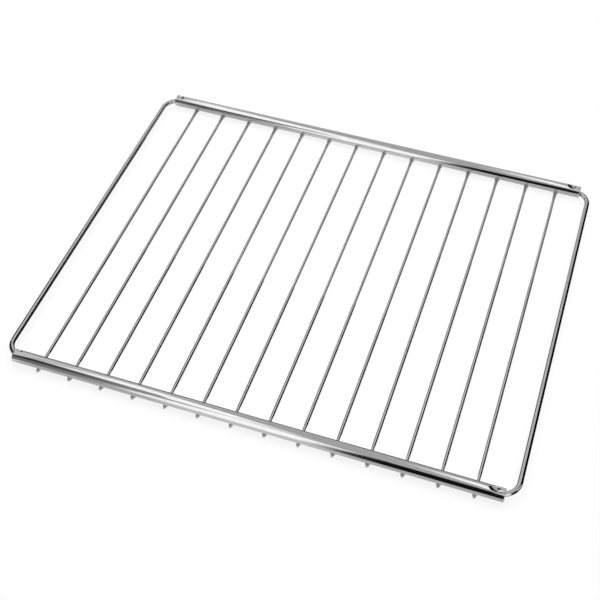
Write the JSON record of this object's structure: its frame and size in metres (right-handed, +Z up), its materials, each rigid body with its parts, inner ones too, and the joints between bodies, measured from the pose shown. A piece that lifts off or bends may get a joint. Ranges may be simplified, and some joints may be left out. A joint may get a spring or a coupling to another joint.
{
  "type": "oven shelf rack",
  "caption": "Adjustable-width oven shelf rack: chrome cross wires welded under front and rear tubes, with U-shaped wire arms that slide out of the crimped tube ends.",
  "frame": {"origin": "middle of the rack, on the surface that the cross wires lie on", "axes": "+X along the tubes towards the right arm, +Y from the front tube to the rear tube, +Z up"},
  "size_m": [0.4, 0.3316, 0.0123],
  "materials": {
    "rail_chrome": "bright chrome plating on smooth tube",
    "wire_chrome": "chrome plating on drawn wire, slightly satin",
    "arm_chrome": "bright chrome plating on thick drawn wire"
  },
  "bodies": {
    "rack": {"front_rail": "rail_chrome", "rear_rail": "rail_chrome", "cross_wire_01": "wire_chrome", "cross_wire_02": "wire_chrome", "cross_wire_03": "wire_chrome", "cross_wire_04": "wire_chrome", "cross_wire_05": "wire_chrome", "cross_wire_06": "wire_chrome", "cross_wire_07": "wire_chrome", "cross_wire_08": "wire_chrome", "cross_wire_09": "wire_chrome", "cross_wire_10": "wire_chrome", "cross_wire_11": "wire_chrome", "cross_wire_12": "wire_chrome", "cross_wire_13": "wire_chrome", "cross_wire_14": "wire_chrome"},
    "left_slider": {"left_arm": "arm_chrome"},
    "right_slider": {"right_arm": "arm_chrome"}
  },
  "joints": [
    {"name": "left_arm_slide", "type": "slide", "parent": "rack", "child": "left_slider", "axis": [-1, 0, 0], "range_m": [0, 0.125]},
    {"name": "right_arm_slide", "type": "slide", "parent": "rack", "child": "right_slider", "axis": [1, 0, 0], "range_m": [0, 0.125]}
  ]
}
